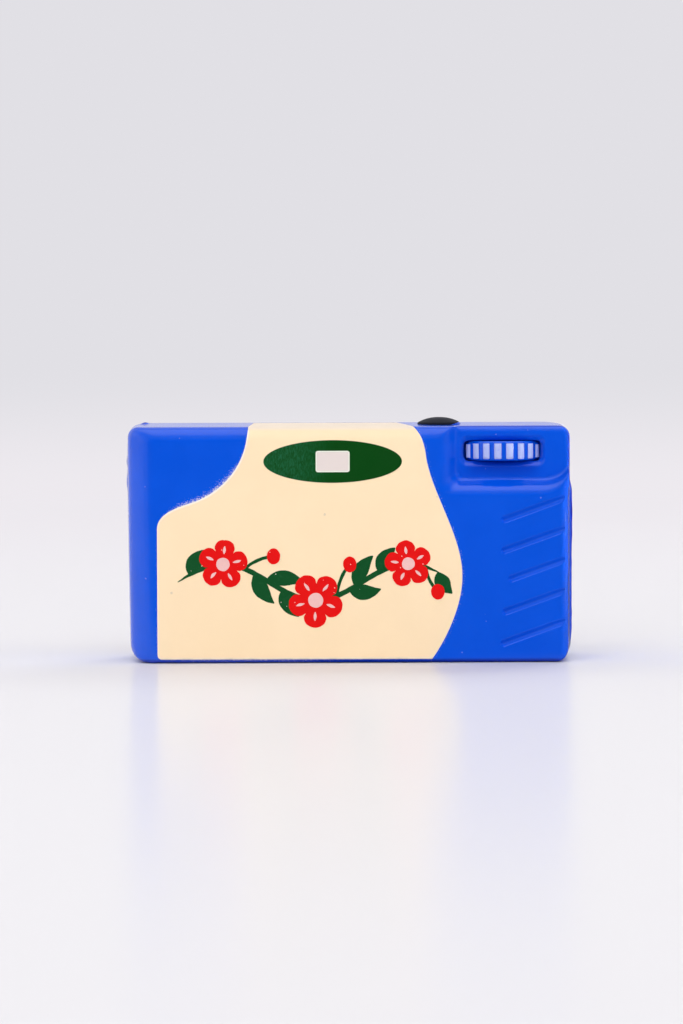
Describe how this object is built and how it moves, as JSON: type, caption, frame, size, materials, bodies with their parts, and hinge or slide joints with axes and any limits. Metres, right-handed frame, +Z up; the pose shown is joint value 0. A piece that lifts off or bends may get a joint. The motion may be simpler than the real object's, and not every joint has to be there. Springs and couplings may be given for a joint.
{
  "type": "camera-shaped squeeze toy",
  "caption": "Soft foam squeeze toy shaped like a single-use camera, with a thumb wheel that rolls, a shutter button that presses and a body that squeezes flat.",
  "frame": {"origin": "centre of the base, at the middle of the bounding box", "axes": "+Z up, -Y the back of the toy camera with its viewfinder and thumb wheel, +Y its lens side, +X the side with the thumb wheel"},
  "size_m": [0.114, 0.0384, 0.0622],
  "materials": {
    "blue_foam": "soft self-skinned polyurethane foam under satin blue paint",
    "cream_paint": "satin cream paint sprayed through a mask onto the foam skin",
    "green_print": "semi-gloss dark green pad print with a fine wrinkle",
    "window_print": "matte pale pad print",
    "white_paint": "matte white paint rolled onto raised foam",
    "black_paint": "satin black paint on raised foam",
    "lens_gloss": "gloss black paint on a raised foam dome"
  },
  "bodies": {
    "back": {"back_foam": "blue_foam", "foam_core": "blue_foam", "cream_panel": "cream_paint", "viewfinder_oval": "green_print", "viewfinder_window": "window_print"},
    "front": {"front_foam": "blue_foam", "front_panel": "cream_paint", "front_window": "window_print", "lens_barrel": "black_paint", "lens_glass": "lens_gloss", "flash_window": "white_paint"},
    "wheel": {"thumb_wheel": "blue_foam", "wheel_stripe_1": "white_paint", "wheel_stripe_2": "white_paint", "wheel_stripe_3": "white_paint", "wheel_stripe_4": "white_paint", "wheel_stripe_5": "white_paint", "wheel_stripe_6": "white_paint", "wheel_stripe_7": "white_paint", "wheel_stripe_8": "white_paint"},
    "button": {"shutter_button": "blue_foam", "button_cap": "black_paint"}
  },
  "joints": [
    {"name": "squeeze", "type": "slide", "parent": "back", "child": "front", "axis": [0, -1, 0], "range_m": [0, 0.007], "stiffness_N_per_m": 2500, "deforming": ["foam_core"]},
    {"name": "wheel_roll", "type": "hinge", "parent": "back", "child": "wheel", "pos_m": [0.03905, -0.00765, 0.05355], "axis": [0, 0, 1], "range_deg": [-8, 8], "stiffness_Nm_per_rad": 0.05},
    {"name": "shutter_press", "type": "slide", "parent": "back", "child": "button", "axis": [0, 0, -1], "range_m": [0, 0.0015], "stiffness_N_per_m": 1500}
  ]
}
